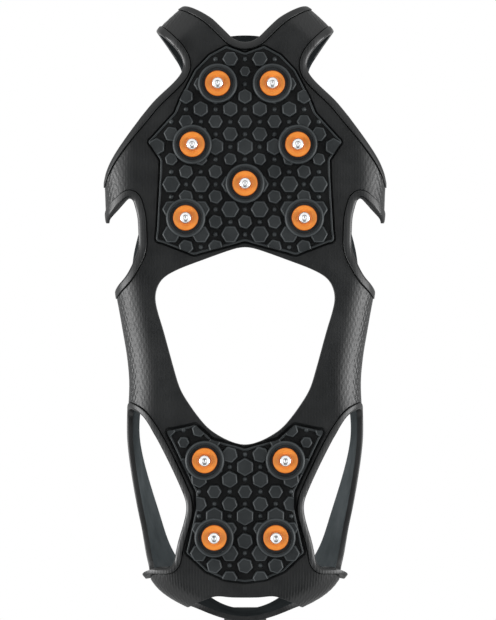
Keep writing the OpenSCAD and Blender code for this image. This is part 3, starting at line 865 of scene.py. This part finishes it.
bmesh.ops.bevel(bm, geom=ends, offset=0.5, segments=3, profile=0.5, affect="EDGES", material=-1)
combine(tab, new_piece("tab_root", bm), "UNION")
tab.data.transform(Matrix.Scale(mm, 4))
tab.data.transform(Matrix.Translation(Vector(fold["pos_m"])) @ Matrix.Rotation(tab_lean, 4, "X"))
tab.data.shade_smooth()
tab.data.set_sharp_from_angle(angle=math.radians(40))
tab.data.materials.clear()
tab.data.materials.append(outside)
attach(tab, "pull_tab")
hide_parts("pull_tab")


# Stage: a plain pale floor under the stud tips, soft lamps, two studio cards and a white surround.
# The floor can't be seen from below, so the camera under it sees the whole sole.
scene = bpy.context.scene
scene.view_settings.view_transform = "Standard"
world = bpy.data.worlds.new("white_surround")
world.use_nodes = True
scene.world = world
tree = world.node_tree
background = tree.nodes["Background"]
background.inputs["Color"].default_value = (1, 1, 1, 1)
rays = add_node(tree, "LightPath").outputs
heading = add_split(tree, add_node(tree, "TexCoord").outputs["Generated"])
mirrored_level = add_range(tree, heading["Z"], -0.1, 0.3, 1, 0)
mirrored_white = add_math(tree, "MULTIPLY", rays["Is Glossy Ray"], mirrored_level)
seen = add_math(tree, "MAXIMUM", rays["Is Camera Ray"], mirrored_white)
seen = add_math(tree, "MAXIMUM", seen, rays["Is Transmission Ray"])
tree.links.new(add_range(tree, seen, 0, 1, 0.58, 1), background.inputs["Strength"])

bm = bmesh.new()
bmesh.ops.create_grid(bm, x_segments=1, y_segments=1, size=4)
bmesh.ops.translate(bm, vec=(0, 0, -0.2 * mm), verts=bm.verts)
floor = new_piece("floor", bm)
floor_paint, tree, shader = new_material("pale_floor")
shader.inputs["Base Color"].default_value = (0.85, 0.85, 0.85, 1)
shader.inputs["Roughness"].default_value = 0.9
from_above = add_math(tree, "SUBTRACT", 1, add_node(tree, "NewGeometry").outputs["Backfacing"])
distance = add_node(tree, "VectorMath", operation="LENGTH")
tree.links.new(add_node(tree, "TexCoord").outputs["Object"], distance.inputs[0])
nearness = add_range(tree, distance.outputs["Value"], 0.2, 0.45, 1, 0)
near_floor = add_math(tree, "MULTIPLY", from_above, nearness)
shown = add_math(tree, "MULTIPLY", add_node(tree, "LightPath").outputs["Is Camera Ray"], near_floor)
clear = add_node(tree, "BsdfTransparent")
choice = add_node(tree, "MixShader")
tree.links.new(shown, choice.inputs["Fac"])
tree.links.new(clear.outputs["BSDF"], choice.inputs[1])
tree.links.new(shader.outputs["BSDF"], choice.inputs[2])
tree.links.new(choice.outputs["Shader"], tree.nodes["Material Output"].inputs["Surface"])
floor.data.materials.append(floor_paint)


def studio_card(name, half_size, lean, place, colour):
    """A matt card that the camera doesn't see."""
    bm = bmesh.new()
    bmesh.ops.create_grid(bm, x_segments=1, y_segments=1, size=1)
    bmesh.ops.scale(bm, vec=(*half_size, 1), verts=bm.verts)
    bmesh.ops.rotate(bm, matrix=Matrix.Rotation(math.radians(lean), 3, "X"), verts=bm.verts)
    bmesh.ops.translate(bm, vec=place, verts=bm.verts)
    card = new_piece(name, bm)
    card.visible_camera = False
    paint, tree, shader = new_material(name)
    shader.inputs["Base Color"].default_value = (*colour, 1)
    shader.inputs["Roughness"].default_value = 1
    shader.inputs["Specular IOR Level"].default_value = 0
    card.data.materials.append(paint)
    return card


# The grey card darkens what faces the camera; the black one shows only as a dark spot in the stud tips.
studio_card("grey_card", (0.34, 0.48), 0, (0, 0, -1.15), (0.12, 0.125, 0.13))
dark_card = studio_card("dark_card", (0.38, 0.35), -45, (0, -0.75, -0.75), (0.01, 0.01, 0.01))
dark_card.visible_diffuse = False
dark_card.visible_shadow = False

# Each lamp has a name, a place, a size and a power, and points at the middle of the part.
lamps = [
    ("right_lamp", (0.95, -0.1, -0.75), 0.7, 4),
    ("left_lamp", (-0.95, -0.05, -0.75), 0.7, 4),
    ("low_right_lamp", (0.88, -0.15, -0.1), 0.55, 6.5),
    ("low_left_lamp", (-0.88, -0.15, -0.1), 0.55, 5.5),
    ("upper_lamp", (0.1, 0.05, 1.2), 0.6, 14),
]
for name, place, size, power in lamps:
    lamp = bpy.data.objects.new(name, bpy.data.lights.new(name, "AREA"))
    lamp.data.energy = power
    lamp.data.size = size
    lamp.location = place
    lamp.rotation_euler = (-Vector(place)).to_track_quat("-Z", "Y").to_euler()
    lamp.visible_camera = False
    lamp.visible_glossy = place[2] < 0
    bpy.context.collection.objects.link(lamp)
